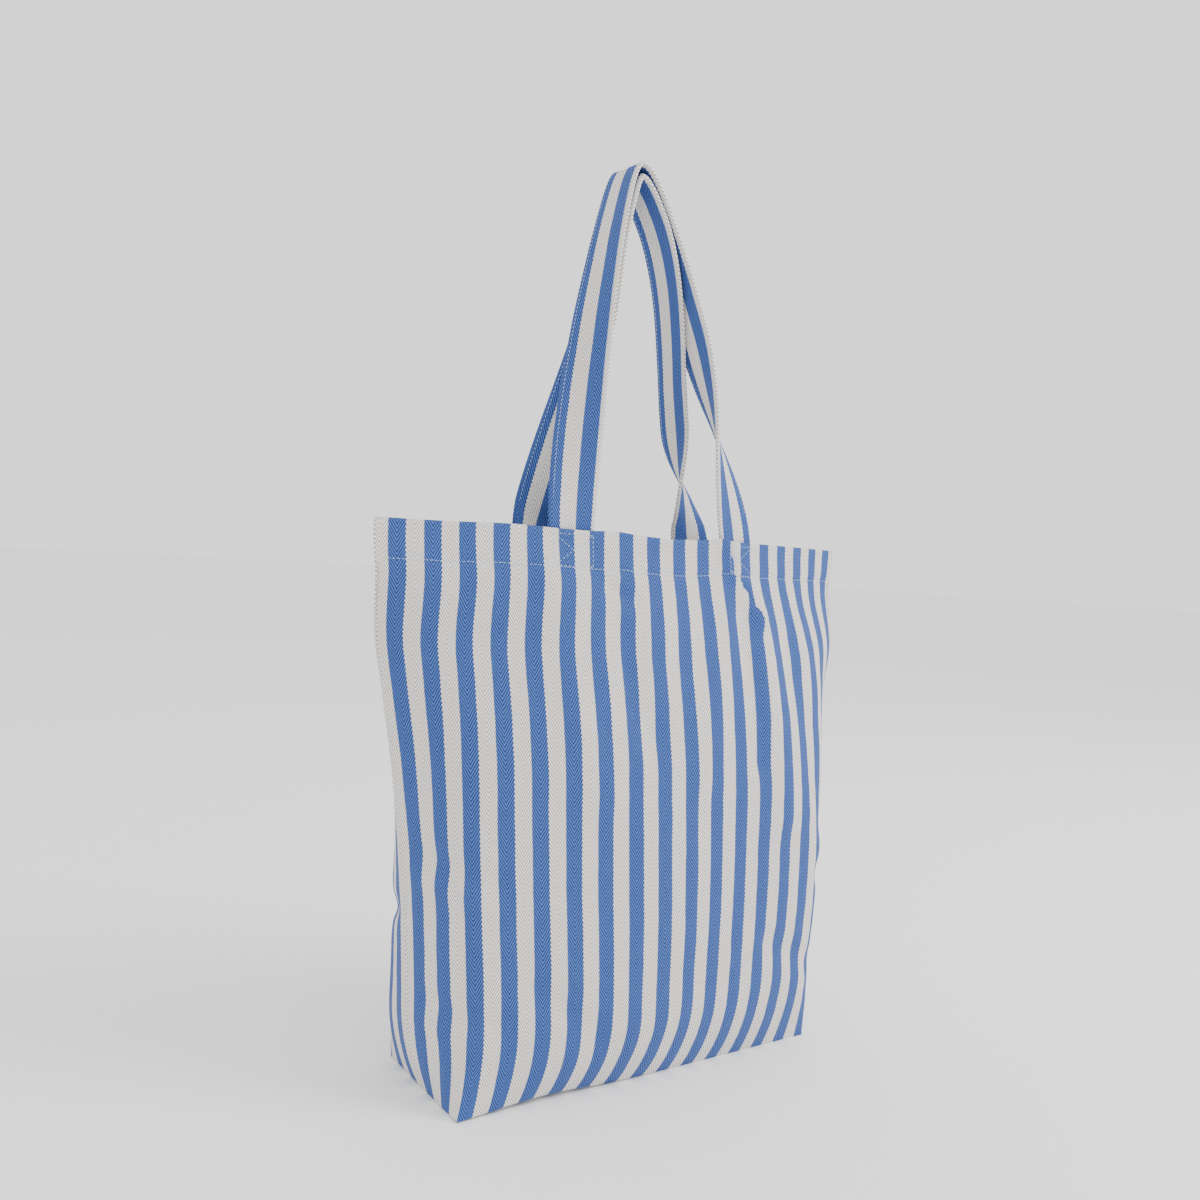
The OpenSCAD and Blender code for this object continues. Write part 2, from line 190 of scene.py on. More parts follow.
backWrinkles = {
    "seed": 11, "lift": (0.040, 0.002, 0.040),
    "creases": [
        ((-0.190, 0.190), (-0.120, 0.172), 0.0085, -0.0036),
        ((0.196, 0.120), (0.130, 0.104), 0.008, -0.0034),
        ((-0.075, 0.350), (-0.095, 0.220), 0.014, 0.0022),
        ((0.072, 0.348), (0.050, 0.225), 0.013, 0.0022),
        ((-0.055, 0.345), (-0.030, 0.260), 0.011, -0.002),
        ((0.088, 0.340), (0.120, 0.230), 0.012, -0.0022),
        ((-0.040, 0.085), (0.020, 0.060), 0.011, -0.0024),
        ((-0.150, 0.060), (-0.110, 0.050), 0.009, -0.0024)],
    "rim": [(0.110, 0.0012, 0.030), (0.000, -0.0012, 0.035)],
    "fold": ([(-0.082, 0.370), (-0.078, 0.352), (-0.070, 0.340), (-0.062, 0.324)],
             0.008, 0.0018)}
ripples = [(0.0022, 0.075, 0.6), (0.0008, 0.026, 0.7), (0.00025, 0.009, 1.0)]  # height, size, squash
relief = {"cell": 0.0025, "footRows": 15, "wallRows": 124, "hemRows": 12, "rimCalm": 0.35,
          "rimReach": 0.040, "floorReach": 0.030, "seamReach": 0.030, "stitchDip": 0.0005,
          "dipReach": 0.0022, "hemProud": 0.0004, "proudReach": 0.006, "seamTurnIn": 0.0016,
          "seamTurnReach": 0.0030, "liftFade": 0.022, "waveFrom": 0.30, "waveOver": 0.06,
          "rimSteps": 6, "seamPress": 0.25, "pressReach": 0.016, "baseFade": 0.6}


def buildGrid(wrinkles):
    # the wall's outer face with its wrinkles, its normals, and how far the foot lifts
    side = int(round(bag["baseD"] / 2 / relief["cell"]))
    middle = int(round(2 * baseHalfL / relief["cell"]))
    s = np.r_[np.linspace(-halfW, -baseHalfL, side, endpoint=False),
              np.linspace(-baseHalfL, baseHalfL, middle, endpoint=False),
              np.linspace(baseHalfL, halfW, side + 1)]
    foldR = bag["clothT"] + bag["layerGap"] / 2  # the cloth turns round this at the rim
    hemLow = bagH - bag["hemD"]
    z = np.r_[np.linspace(0, bag["foot"], relief["footRows"], endpoint=False),
              np.linspace(bag["foot"], hemLow, relief["wallRows"], endpoint=False),
              np.linspace(hemLow, bagH - foldR, relief["hemRows"])]
    wall = np.stack([wallRow(s, h) for h in z])
    across = np.gradient(wall, axis=1)
    rise = np.gradient(wall, axis=0)
    normal = np.cross(across, rise)
    normal /= np.linalg.norm(normal, axis=2, keepdims=True)
    sAll, zAll = np.meshgrid(s, z)
    flatPlaces = np.stack([sAll.ravel(), zAll.ravel()], 1)
    push = np.zeros(sAll.shape)
    for k, (height, size, squash) in enumerate(ripples):
        push += height * smoothNoise(flatPlaces * [1, squash], size, wrinkles["seed"] + k).reshape(sAll.shape)
    for start, end, width, depth in wrinkles["creases"]:
        push += crease(sAll, zAll, start, end, width, depth)
    foldPart = overlap(sAll, zAll, *wrinkles["fold"])
    # calmer at the rim, the floor and the seams, where layers hold the cloth
    nearSeam = ease((halfW - np.abs(sAll)) / relief["seamReach"])
    nearRim = relief["rimCalm"] + (1 - relief["rimCalm"]) * ease((bagH - zAll) / relief["rimReach"])
    push = push * (nearRim * ease(zAll / relief["floorReach"]) * nearSeam) + foldPart * nearSeam
    # the hem's stitching draws the cloth in, and the hem stands a little proud above it
    stitchZ = hemLow + bag["stitchInset"]
    push -= relief["stitchDip"] * np.exp(-((zAll - stitchZ) / relief["dipReach"]) ** 2)
    push += relief["hemProud"] * ease((zAll - stitchZ) / relief["proudReach"])
    # the side seam turns in between the two panels
    reach = relief["seamTurnReach"]
    push -= relief["seamTurnIn"] * ease((np.abs(sAll) - (halfW - reach)) / reach)
    wall = wall + normal * push[..., None]
    wall[..., 1] = np.minimum(wall[..., 1], -bag["midGap"])
    wall = twisted(wall)
    at, high, spread = wrinkles["lift"]
    lift = high * np.exp(-((s - at) / spread) ** 2)
    wall[..., 2] += lift[None, :] * np.exp(-zAll / relief["liftFade"])
    for at, high, spread in wrinkles["rim"]:  # the rim isn't quite level
        fade = ease((zAll - relief["waveFrom"]) / relief["waveOver"])
        wall[..., 2] += high * np.exp(-((sAll - at) / spread) ** 2) * fade
    return s, z, wall, normal, lift, foldR, side, middle


def addSheet(name, points, faces, uvs):
    mesh = bpy.data.meshes.new(name)
    mesh.from_pydata([tuple(p) for p in points], [], faces)
    layer = mesh.uv_layers.new(name="weave")
    layer.data.foreach_set("uv", np.array(uvs, np.float32).ravel())
    mesh.update()
    piece = bpy.data.objects.new(name, mesh)
    bpy.context.scene.collection.objects.link(piece)
    return piece


def thicken(piece, thickness, smooth=50):
    bpy.ops.object.select_all(action="DESELECT")
    piece.select_set(True)
    bpy.context.view_layer.objects.active = piece
    solid = piece.modifiers.new("thickness", "SOLIDIFY")
    solid.thickness, solid.offset, solid.use_even_offset = thickness, -1, False
    bpy.ops.object.modifier_apply(modifier=solid.name)
    bpy.ops.object.shade_smooth_by_angle(angle=math.radians(smooth))
    piece.select_set(False)


def faceOut(piece, smooth):
    # turns a closed piece's faces outwards and shades it smooth up to an angle
    bpy.ops.object.select_all(action="DESELECT")
    piece.select_set(True)
    bpy.context.view_layer.objects.active = piece
    bpy.ops.object.mode_set(mode="EDIT")
    bpy.ops.mesh.select_all(action="SELECT")
    bpy.ops.mesh.normals_make_consistent(inside=False)
    bpy.ops.object.mode_set(mode="OBJECT")
    bpy.ops.object.shade_smooth_by_angle(angle=math.radians(smooth))
    piece.select_set(False)


def buildPanel(name, wrinkles, onBack):
    s, z, wall, normal, lift, foldR, side, middle = buildGrid(wrinkles)
    n = len(s)
    rowsUp, vUp = [wall[i] for i in range(len(z))], [0.0]
    mid = n // 2
    for i in range(1, len(z)):
        vUp.append(vUp[-1] + float(np.linalg.norm(wall[i, mid] - wall[i - 1, mid])))
    top, topNormal = wall[-1].copy(), normal[-1]
    inward = -np.c_[topNormal[:, :2], np.zeros(n)]
    inward /= np.linalg.norm(inward, axis=1, keepdims=True)
    # the layers press together towards the side seams
    press = relief["seamPress"]
    deep = foldR * (press + (1 - press) * ease((halfW - np.abs(s)) / relief["pressReach"]))
    for k in range(1, relief["rimSteps"] + 1):
        t = math.pi * k / relief["rimSteps"]
        rowsUp.append(top + inward * (deep * (1 - math.cos(t)))[:, None]
                      + np.array([0, 0, 1.0]) * foldR * math.sin(t))
        vUp.append(vUp[-1] + math.pi * foldR / relief["rimSteps"])
    hemDown = np.linspace(bagH - foldR, bagH - bag["hemD"], relief["hemRows"])[1:]
    for h in hemDown:
        i = np.searchsorted(z, h)
        f = (h - z[i - 1]) / (z[i] - z[i - 1]) if i < len(z) else 1.0
        i = min(i, len(z) - 1)
        row = wall[i - 1] * (1 - f) + wall[i] * f
        rowsUp.append(row + inward * (2 * deep)[:, None])
        vUp.append(vUp[-1] + bag["hemD"] / (relief["hemRows"] - 1))
    points = np.concatenate(rowsUp)
    hem = points[:, 2] > bagH - bag["hemD"]
    points[hem, 1] = np.minimum(points[hem, 1], -bag["midGap"])
    u = s + halfW
    m = len(rowsUp)
    faces, uvs = [], []
    for i in range(m - 1):
        for j in range(n - 1):
            a = i * n + j
            faces.append((a, a + 1, a + n + 1, a + n))
            uvs += [(u[j], vUp[i]), (u[j + 1], vUp[i]), (u[j + 1], vUp[i + 1]), (u[j], vUp[i + 1])]
    # half of the base, whose front and side edges are the wall's lowest row
    extra = []
    baseId = {}
    for q in range(side + 1):
        for p in range(middle + 1):
            if q == 0:
                baseId[q, p] = side + p
            elif p == 0:
                baseId[q, p] = side - q
            elif p == middle:
                baseId[q, p] = side + middle + q
            else:
                baseId[q, p] = m * n + len(extra)
                y = points[side - q][1]
                rest = lift[side + p] * (1 - ease(np.array(q / (side * relief["baseFade"]))))
                extra.append((points[side + p][0], y, float(rest)))
    for q in range(side):
        for p in range(middle):
            faces.append((baseId[q, p], baseId[q + 1, p], baseId[q + 1, p + 1], baseId[q, p + 1]))
            d0, d1 = -bag["baseD"] / 2 * q / side, -bag["baseD"] / 2 * (q + 1) / side
            u0, u1 = u[side + p], u[side + p + 1]
            uvs += [(u0, d0), (u0, d1), (u1, d1), (u1, d0)]
    points = np.concatenate([points, np.array(extra)])
    if onBack:
        points[:, :2] *= -1
    piece = addSheet(name, points, faces, uvs)
    thicken(piece, bag["clothT"])
    return piece, wall, normal, s, z


frontCloth, frontWall, frontNormal, sGrid, zGrid = buildPanel("front_cloth", frontWrinkles, False)
backCloth, backWall, backNormal, _, _ = buildPanel("back_cloth", backWrinkles, True)
print("panels sewn:", len(frontCloth.data.polygons), len(backCloth.data.polygons), "faces")


def placeOn(wall, normal, s, z, depth, onBack=False):
    # a point on the wrinkled wall at a depth under its face, and the face's normal there
    i = np.clip(np.searchsorted(zGrid, z) - 1, 0, len(zGrid) - 2)
    j = np.clip(np.searchsorted(sGrid, s) - 1, 0, len(sGrid) - 2)
    a = (z - zGrid[i]) / (zGrid[i + 1] - zGrid[i])
    b = (s - sGrid[j]) / (sGrid[j + 1] - sGrid[j])
    mix = lambda g: (g[i, j] * (1 - a) * (1 - b) + g[i + 1, j] * a * (1 - b)
                     + g[i, j + 1] * (1 - a) * b + g[i + 1, j + 1] * a * b)
    p, q = mix(wall), mix(normal)
    p = p - q / np.linalg.norm(q) * depth
    if onBack:
        p, q = p * [-1, -1, 1], q * [-1, -1, 1]
    return p, q / np.linalg.norm(q)


# straps

strap = {"width": 0.033, "thick": 0.0024, "spacing": 0.142, "loopH": 0.248, "hangX": -0.022,
         "nestGap": 0.0008, "innerDrop": 0.0045, "rimGap": 0.0004, "topTurn": -86.0,
         "edgeInset": 0.0031, "edgeRoll": 0.0026, "edgeSwell": 0.26, "foldH": 0.016,
         "halfRings": 110, "endRings": 10, "tipRound": 0.09, "shoulder": 1.18, "crown": 1.3,
         "meet": 0.62, "partLate": 0.9, "tuckBy": 0.50, "quickTurn": 0.36, "slowTurn": 0.60,
         "straightTo": 0.08, "footTo": 0.10, "lookAhead": 0.004}
legS = strap["spacing"] / 2
strapDepth = 2 * bag["clothT"] + 3 * bag["layerGap"] + strap["thick"] / 2


def plainPlace(s, z, depth):
    row = wallRow(np.array([s - 0.0005, s, s + 0.0005]), z)
    below = wallRow(np.array([s]), z - 0.0005)[0]
    n = np.cross(row[2] - row[0], row[1] - below)
    n /= np.linalg.norm(n)
    return row[1] - n * depth, n


legFoot, footNormal = plainPlace(legS, bagH, strapDepth)
footTurn = math.degrees(math.atan2(footNormal[0], -footNormal[1]))


def loopRise(r):
    k = strap["tipRound"]
    soft = (math.sqrt(r * r + k * k) - k) / (math.sqrt(1 + k * k) - k)
    return max(1 - soft ** strap["shoulder"], 0) ** (1 / strap["crown"])


def frontLine(r):
    rise = loopRise(r)
    footX = math.copysign(legFoot[0], r)
    return np.array([strap["hangX"] + (footX - strap["hangX"]) * abs(r), legFoot[1] * (1 - rise) ** 1.15,
                     bagH + strap["rimGap"] + strap["loopH"] * rise])


def loopFrame(r, isBack):
    rise = loopRise(r)
    ahead = strap["lookAhead"]
    along = frontLine(min(r + ahead, 1)) - frontLine(max(r - ahead, -1))
    along /= np.linalg.norm(along)
    bent = float(ease(rise / strap["straightTo"]))
    along = along * bent + np.array([0, 0, -math.copysign(1, r)]) * (1 - bent)
    along /= np.linalg.norm(along)
    top = strap["topTurn"]
    # the left legs lie together from halfway up, the back right leg stays behind for longer
    if r < 0:
        apart = (1 - min(rise / strap["meet"], 1)) ** 1.35
        tuck = 1 - apart
    else:
        apart = 1 - float(ease((rise / strap["partLate"]) ** 1.3))
        tuck = float(ease(rise / strap["tuckBy"]))
    # the foot follows its own rim, which is turned the other way on the back
    foot = footTurn * (1 - 2 * float(ease(1 - rise / strap["footTo"]))) if isBack else footTurn
    if r < 0:
        a = -foot + (top + footTurn) * (1 - (1 - rise) ** 1.5)
    else:  # the right legs turn low down, the back one lower than the front one
        quick = float(ease(rise / strap["quickTurn"]))
        slow = float(ease(rise / strap["slowTurn"]))
        turned = slow + (quick - slow) * min(1.5 * apart, 1) if isBack else slow
        a = -180 + foot + (top + 180 - footTurn) * turned
    raw = np.array([math.cos(math.radians(a)), math.sin(math.radians(a)), 0])
    near = raw - along * (raw @ along)
    near /= np.linalg.norm(near)
    out = np.cross(near, along)
    line = frontLine(r)
    if isBack:
        line = (line + np.array([0, -2 * legFoot[1] * apart, 0])
                - (out * (strap["thick"] + strap["nestGap"]) + np.array([0, 0, strap["innerDrop"]])) * tuck)
    return line, near, out


def strapDepthAt(a):
    # half the strap's thickness at a distance from its middle: it swells towards the rolled edges
    flatHalf = strap["width"] / 2 - strap["edgeRoll"]
    return strap["thick"] / 2 * (1 + strap["edgeSwell"] * abs(a / flatHalf) ** 6)


def strapSection(count=13):
    # a folded strap's outline: flat faces and edges that roll, as (across, through) pairs
    t, roll = strap["thick"] / 2, strap["edgeRoll"]
    flatHalf = strap["width"] / 2 - roll
    flat = np.linspace(-flatHalf, flatHalf, count)
    turn = np.linspace(90, -90, 7)[1:-1]
    bulge = [strapDepthAt(a) for a in flat]
    edgeT = t * (1 + strap["edgeSwell"])
    right = [(flatHalf + roll * math.cos(math.radians(a)), edgeT * math.sin(math.radians(a))) for a in turn]
    face = list(zip(flat, bulge))
    back = [(-a, -b) for a, b in face]
    left = [(-a, -b) for a, b in right]
    return face + right + back + left


def buildStrap(name, isBack):
    stations = []
    hemLow = bagH - bag["hemD"]
    for r in (-1, 1):
        ends = []
        for z in np.linspace(hemLow, bagH - 0.0008, strap["endRings"]):
            side = (r if not isBack else -r) * legS
            p, n = plainPlace(side, z, strapDepth)
            q, _ = plainPlace(side + 0.001, z, strapDepth)
            tangent = (q - p) / np.linalg.norm(q - p)
            if isBack:
                p, n, tangent = p * [-1, -1, 1], n * [-1, -1, 1], tangent * [-1, -1, 1]
            near = tangent * (1 if tangent[0] * -r > 0 else -1)
            out = n * (1 if n[1] < 0 else -1)
            ends.append((p, near, out))
        stations.append(ends if r < 0 else ends[::-1])
    loop = []
    for i in range(-strap["halfRings"], strap["halfRings"] + 1):
        t = i / strap["halfRings"]
        loop.append(loopFrame(math.copysign(abs(t) ** 1.5, t) if t else 0.0, isBack))
    rings = stations[0] + loop + stations[1]
    steps = [np.linalg.norm(high[0] - low[0]) for low, high in zip(rings, rings[1:])]
    length = np.r_[0, np.cumsum(steps)]
    section = strapSection()
    points, seed = [], 21 if isBack else 20
    for (p, near, out), v in zip(rings, length):
        ripple = 0.00035 * noise.noise(Vector((v / 0.035, seed, 0)))
        roll = 0.0004 * noise.noise(Vector((v / 0.05, seed, 4)))
        for a, d in section:
            points.append(p + near * a + out * (d + ripple + roll * (a / 0.0165) ** 2))
    k, m = len(section), len(rings)
    # both faces carry the same stripes, so the pattern is read across from the near edge
    uOf = [strap["width"] / 2 - a for a, _ in section]
    faces, uvs = [], []
    for i in range(m - 1):
        for j in range(k):
            b = (j + 1) % k
            faces.append((i * k + j, i * k + b, (i + 1) * k + b, (i + 1) * k + j))
            uvs += [(uOf[j], length[i]), (uOf[b], length[i]),
                    (uOf[b], length[i + 1]), (uOf[j], length[i + 1])]
    for ring, order in ((0, range(k)), (m - 1, range(k - 1, -1, -1))):
        faces.append(tuple(ring * k + j for j in reversed(list(order))))
        uvs += [(uOf[j], length[ring]) for j in reversed(list(order))]
    piece = addSheet(name, points, faces, uvs)
    faceOut(piece, 60)
    return piece, rings, length


frontStrap, frontRings, frontLength = buildStrap("front_strap", False)
backStrap, backRings, backLength = buildStrap("back_strap", True)
print("straps folded: %.3f m and %.3f m long" % (frontLength[-1], backLength[-1]))

# stitches: one is modelled, and its mesh is copied along each line

thread = {"pitch": 0.0029, "stitch": 0.0019, "radius": 0.00017, "sink": 0.00005}


def modelStitch():
    body = thread["stitch"] - 4 * thread["radius"]
    bpy.ops.object.select_all(action="DESELECT")
    bpy.ops.mesh.primitive_cylinder_add(vertices=6, radius=thread["radius"], depth=body, location=(0, 0, 0))
    stitch = bpy.context.active_object
    for end in (1, -1):  # each end narrows and dips into the cloth
        bpy.ops.object.mode_set(mode="EDIT")
        bpy.ops.mesh.select_mode(type="FACE")
        bpy.ops.mesh.select_all(action="DESELECT")
        bpy.ops.object.mode_set(mode="OBJECT")
        for face in stitch.data.polygons:
            face.select = face.normal.z * end > 0.9
        bpy.ops.object.mode_set(mode="EDIT")
        dip = (0, -thread["radius"] * 0.8, end * thread["radius"] * 2)
        bpy.ops.mesh.extrude_region_move(TRANSFORM_OT_translate={"value": dip})
        bpy.ops.transform.resize(value=(0.5, 0.5, 0.5))
        bpy.ops.object.mode_set(mode="OBJECT")
    points = np.array([v.co for v in stitch.data.vertices])
    faces = [tuple(f.vertices) for f in stitch.data.polygons]
    bpy.data.objects.remove(stitch)
    return points, faces


stitchPoints, stitchFaces = modelStitch()


def sewLine(places):
    # places are (point, normal) pairs along one line: stitches are laid a pitch apart
    path = np.array([p for p, _ in places])
    norms = np.array([n for _, n in places])
    run = np.r_[0, np.cumsum(np.linalg.norm(np.diff(path, axis=0), axis=1))]
    count = max(int(run[-1] / thread["pitch"]), 1)
    out = []
    for k in range(count):
        mid = (k + 0.5) * run[-1] / count
        at = lambda d: np.array([np.interp(d, run, path[:, c]) for c in range(3)])
        p, q = at(mid - thread["stitch"] / 2), at(mid + thread["stitch"] / 2)
        n = np.array([np.interp(mid, run, norms[:, c]) for c in range(3)])
        along = (q - p) / np.linalg.norm(q - p)
        n = n - along * (n @ along)
        n /= np.linalg.norm(n)
        out.append(((p + q) / 2, along, n))
    return out


def addStitches(name, placings):
    points, faces = [], []
    for centre, along, n in placings:
        side = np.cross(n, along)
        base = len(points)
        lift = thread["radius"] * 0.7 - thread["sink"]
        for x, y, z in stitchPoints:
            points.append(tuple(centre + side * x + n * (y + lift) + along * z))
        faces += [tuple(base + i for i in f) for f in stitchFaces]
    mesh = bpy.data.meshes.new(name)
    mesh.from_pydata(points, [], faces)
    mesh.update()
    piece = bpy.data.objects.new(name, mesh)
    bpy.context.scene.collection.objects.link(piece)
    faceOut(piece, 70)
    return piece


def wallLine(wall, normal, onBack, start, end, inner=0.0, steps=40):
    # a line on the panel's face, or on the inner face when `inner` is a depth
    places = []
    for t in np.linspace(0, 1, steps):
        s = start[0] + (end[0] - start[0]) * t
        z = start[1] + (end[1] - start[1]) * t
        p, n = placeOn(wall, normal, s, z, inner, onBack)
        places.append((p, -n if inner else n))
    return places


sewing = {"hemEnd": 0.1955, "innerEnd": 0.190, "strapClear": 0.017, "tackInset": 0.0025,
          "underRim": 0.0032, "overHem": 0.0008}
stitchZ = bagH - bag["hemD"] + bag["stitchInset"]
hemInner = 2 * bag["clothT"] + bag["layerGap"]
tackInner = hemInner + bag["layerGap"] + strap["thick"]


def hemStitches(wall, normal, onBack):
    end, clear = sewing["hemEnd"], sewing["strapClear"]
    run = sewLine(wallLine(wall, normal, onBack, (-end, stitchZ), (end, stitchZ), steps=200))
    for a, b in ((-sewing["innerEnd"], -legS - clear), (-legS + clear, legS - clear),
                 (legS + clear, sewing["innerEnd"])):
        run += sewLine(wallLine(wall, normal, onBack, (a, stitchZ), (b, stitchZ), hemInner, 80))
    return run


def tackStitches(wall, normal, onBack):
    run = []
    for side in (-1, 1):
        left = side * legS - strap["width"] / 2 + sewing["tackInset"]
        right = side * legS + strap["width"] / 2 - sewing["tackInset"]
        top, bottom = bagH - sewing["underRim"], stitchZ + sewing["overHem"]
        corners = [(left, bottom), (right, bottom), (right, top), (left, top)]
        pairs = [(corners[k], corners[(k + 1) % 4]) for k in range(4)]
        pairs += [(corners[0], corners[2]), (corners[1], corners[3])]
        for a, b in pairs:
            run += sewLine(wallLine(wall, normal, onBack, a, b))
            run += sewLine(wallLine(wall, normal, onBack, a, b, tackInner))
    return run


def edgeStitches(rings):
    # from above the fold at one foot, over the top, to above the fold at the other
    run = []
    reach = strap["width"] / 2 - strap["edgeInset"]
    free = [ring for ring in rings if ring[0][2] > bagH + strap["foldH"]]
    for side in (-1, 1):
        for face in (1, -1):
            run += sewLine([(p + near * side * reach + out * face * strapDepthAt(reach), out * face)
                            for p, near, out in free])
    return run


frontHemThread = addStitches("front_hem_thread", hemStitches(frontWall, frontNormal, False))
backHemThread = addStitches("back_hem_thread", hemStitches(backWall, backNormal, True))
frontTackThread = addStitches("front_tack_thread", tackStitches(frontWall, frontNormal, False))
backTackThread = addStitches("back_tack_thread", tackStitches(backWall, backNormal, True))
frontEdgeThread = addStitches("front_edge_thread", edgeStitches(frontRings))
backEdgeThread = addStitches("back_edge_thread", edgeStitches(backRings))
print("stitches laid")

# seam allowances inside, with an overlock thread over their raw edges

seam = {"thick": 0.0024, "pitch": 0.0026, "cover": 0.0042, "edgeRound": 0.0006, "rings": 120}


def allowance(name, spine, inward, across, width):
    # two layers of cloth standing `width` inwards from a spine, rounded at the raw edge
    half = seam["thick"] / 2
    brow = width - seam["edgeRound"]
    upper = [(0, half), (width * 0.5, half * 1.04), (brow, half * 0.95), (width, half * 0.4)]
    profile = upper + [(w, -h) for w, h in reversed(upper)]
    points, faces, uvs = [], [], []
    k = len(profile)
    run = np.r_[0, np.cumsum(np.linalg.norm(np.diff(spine, axis=0), axis=1))]
    for i, p in enumerate(spine):
        wave = 0.0004 * noise.noise(Vector((run[i] / 0.018, 31, len(name))))
        for w, h in profile:
            points.append(p + inward * w + across * (h + wave * w / width))
    for i in range(len(spine) - 1):
        for j in range(k):
            b = (j + 1) % k
            faces.append((i * k + j, i * k + b, (i + 1) * k + b, (i + 1) * k + j))
            uvs += [(profile[j][0], run[i]), (profile[b][0], run[i]),
                    (profile[b][0], run[i + 1]), (profile[j][0], run[i + 1])]
    last = (len(spine) - 1) * k
    for ids, at in ((tuple(range(k - 1, -1, -1)), 0), (tuple(last + j for j in range(k)), -1)):
        faces.append(ids)
        uvs += [(profile[i % k][0], run[at]) for i in ids]
    piece = addSheet(name, points, faces, uvs)
    faceOut(piece, 50)
    return piece


def overlockOf(spine, inward, across, width):
    # slanting loops on both faces and a straight one round the raw edge
    run = np.r_[0, np.cumsum(np.linalg.norm(np.diff(spine, axis=0), axis=1))]
    at = lambda d: np.array([np.interp(d, run, spine[:, c]) for c in range(3)])
    placings = []
    for k in range(int(run[-1] / seam["pitch"]) - 1):
        d = (k + 0.5) * seam["pitch"]
        for face in (1, -1):
            for part in (0.2, 0.7):
                first, last = d + seam["pitch"] * 0.5 * part, d + seam["pitch"] * 0.5 * (part + 0.5)
                a = at(first) + inward * (width - seam["cover"] * (1 - part * 0.8))
                b = at(last) + inward * (width - seam["cover"] * (0.6 - part * 0.7))
                along = (b - a) / np.linalg.norm(b - a)
                n = across * face
                placings.append(((a + b) / 2 + n * seam["thick"] / 2, along, n))
        placings.append((at(d) + inward * width, across, inward))
    return placings


sidePieces = []
for name, sign, node in (("right", 1, "right_side_seam"), ("left", -1, "left_side_seam")):
    low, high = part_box(node)
    heights = np.linspace(low[2] + 0.0005, bagH - 0.0015, seam["rings"])
    edge = np.array([wallRow(np.array([halfW]), h)[0] for h in heights])
    spine = twisted(np.c_[sign * (edge[:, 0] - relief["seamTurnIn"]), np.zeros(len(edge)), heights])
    inward, across = np.array([-sign, 0, 0.0]), np.array([0, 1.0, 0])
    width = bag["seamW"] - relief["seamTurnIn"]
    cloth = allowance(name + "_side_allowance", spine, inward, across, width)
    overlock = addStitches(name + "_overlock", overlockOf(spine, inward, across, width))
    sidePieces.append((name, node, cloth, overlock))
cornerPieces = []
for name, sign in (("right", 1), ("left", -1)):
    low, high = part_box(name + "_corner_seam")
    edgeX = max(abs(low[0]), abs(high[0]))
    middleZ = (low[2] + high[2]) / 2
    y = np.linspace(low[1] + 0.0003, high[1] - 0.0003, 50)
    spine = np.c_[np.full(50, sign * edgeX), y, np.full(50, middleZ)]
    inward, across = np.array([-sign, 0, 0.0]), np.array([0, 0, 1.0])
    cornerPieces.append((name, allowance(name + "_corner_allowance", spine, inward, across, bag["seamW"])))
low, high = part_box("base_seam")
rings = seam["rings"]
x = np.linspace(low[0], high[0], rings)
spine = np.c_[x, np.full(rings, -bag["clothT"]), np.full(rings, bag["clothT"] * 2 + 0.0001)]
inward, across = np.array([0, 1.0, 0]), np.array([0, 0, 1.0])
baseAllowance = allowance("base_allowance", spine, inward, across, bag["seamW"] + 0.0010)
print("seams closed")

# materials


class Flow:  # a shader value that is added, scaled and compared like a number
    def __init__(self, shade, socket):
        self.shade, self.socket = shade, socket

    def sum(self, operation, *others):
        node = self.shade.node("Math", {"operation": operation}, dict(enumerate((self, *others))))
        return Flow(self.shade, node.outputs[0])

    def __add__(self, other): return self.sum("ADD", other)
    def __radd__(self, other): return self.sum("ADD", other)
    def __sub__(self, other): return self.sum("SUBTRACT", other)
    def __mul__(self, other): return self.sum("MULTIPLY", other)
    def __truediv__(self, other): return self.sum("DIVIDE", other)
    def __lt__(self, other): return self.sum("LESS_THAN", other)
    def __abs__(self): return self.sum("ABSOLUTE")

    def __rsub__(self, other):
        node = self.shade.node("Math", {"operation": "SUBTRACT"}, {0: other, 1: self})
        return Flow(self.shade, node.outputs[0])


class Shade:
    def __init__(self, name):
        self.material = bpy.data.materials.new(name)
        self.material.use_nodes = True
        self.tree = self.material.node_tree
        self.tree.nodes.clear()

    def node(self, kind, settings=None, inputs=None):
        made = self.tree.nodes.new("ShaderNode" + kind)
        for key, value in (settings or {}).items():
            setattr(made, key, value)
        for key, value in (inputs or {}).items():
            if isinstance(value, Flow):
                self.tree.links.new(value.socket, made.inputs[key])
            else:
                made.inputs[key].default_value = value
        return made

    def blend(self, factor, first, second, kind="MIX"):
        made = self.node("Mix", {"data_type": "RGBA", "blend_type": kind}, {0: factor, 6: first, 7: second})
        return Flow(self, made.outputs[2])

    def wave(self, flow):  # 0 to 1 and back once for each whole step
        return (flow * (2 * math.pi)).sum("COSINE") * 0.5 + 0.5

    def cloud(self, vector, scale, detail=3.0):
        made = self.node("TexNoise", {}, {"Vector": vector, "Scale": scale, "Detail": detail})
        return Flow(self, made.outputs["Fac"])

    def places(self):  # where a point lies on the flat cloth, and its two parts
        uv = Flow(self, self.node("UVMap", {"uv_map": "weave"}).outputs[0])
        parts = self.node("SeparateXYZ", {}, {0: uv})
        return uv, Flow(self, parts.outputs[0]), Flow(self, parts.outputs[1])

    def finish(self, colour, roughness, height, constants, distance=0.0004, strength=0.7):
        bump = self.node("Bump", {}, {"Height": height, "Strength": strength, "Distance": distance})
        shader = self.node("BsdfPrincipled", {}, {"Base Color": colour, "Roughness": roughness,
                                                  "Normal": Flow(self, bump.outputs[0]), **constants})
        made = self.node("OutputMaterial")
        self.tree.links.new(shader.outputs[0], made.inputs[0])
        return self.material


